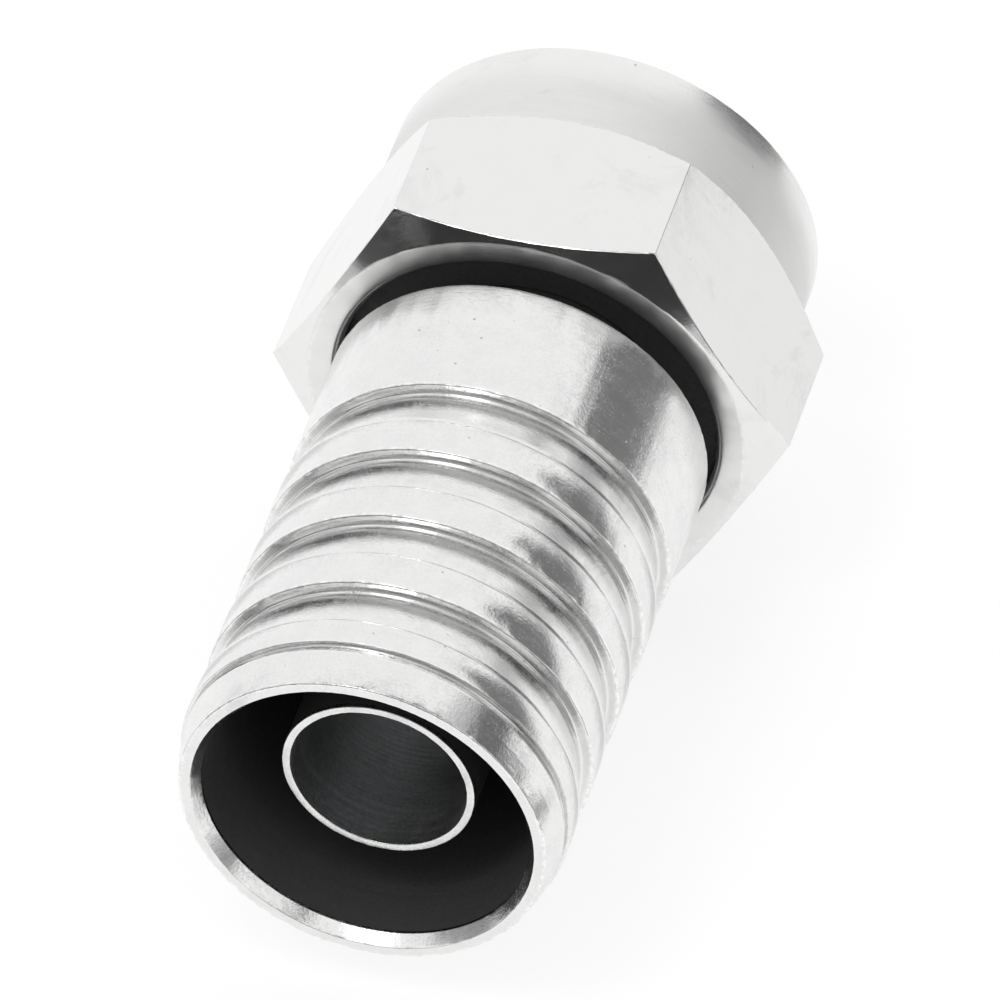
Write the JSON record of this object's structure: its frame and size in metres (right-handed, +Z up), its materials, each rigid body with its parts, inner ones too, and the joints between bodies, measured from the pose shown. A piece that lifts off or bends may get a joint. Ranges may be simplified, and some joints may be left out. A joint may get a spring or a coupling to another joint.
{
  "type": "coaxial cable plug",
  "caption": "Crimp-on coaxial cable plug with a free-turning threaded hex coupling nut, a grooved crimp sleeve and a hollow post that holds the cable.",
  "frame": {"origin": "on the common axis, in the front face of the post: the plane that the mating port seats against", "axes": "+Y along the common axis, out of the threaded front of the nut; the cable enters from -Y; +Z up, with the plug lying on one flat of the hex"},
  "size_m": [0.0128, 0.0211, 0.0112],
  "materials": {
    "nut_plating": "bright nickel plating on brass, satin turned faces",
    "sleeve_plating": "bright nickel plating on brass, ragged burnished groove edges",
    "post_plating": "tin plating on brass, dull inside"
  },
  "bodies": {
    "plug_body": {"crimp_sleeve": "sleeve_plating", "post": "post_plating"},
    "nut": {"coupling_nut": "nut_plating"}
  },
  "joints": [
    {"name": "nut_spin", "type": "hinge", "parent": "plug_body", "child": "nut", "pos_m": [0, 0, 0], "axis": [0, 1, 0], "continuous": true}
  ]
}
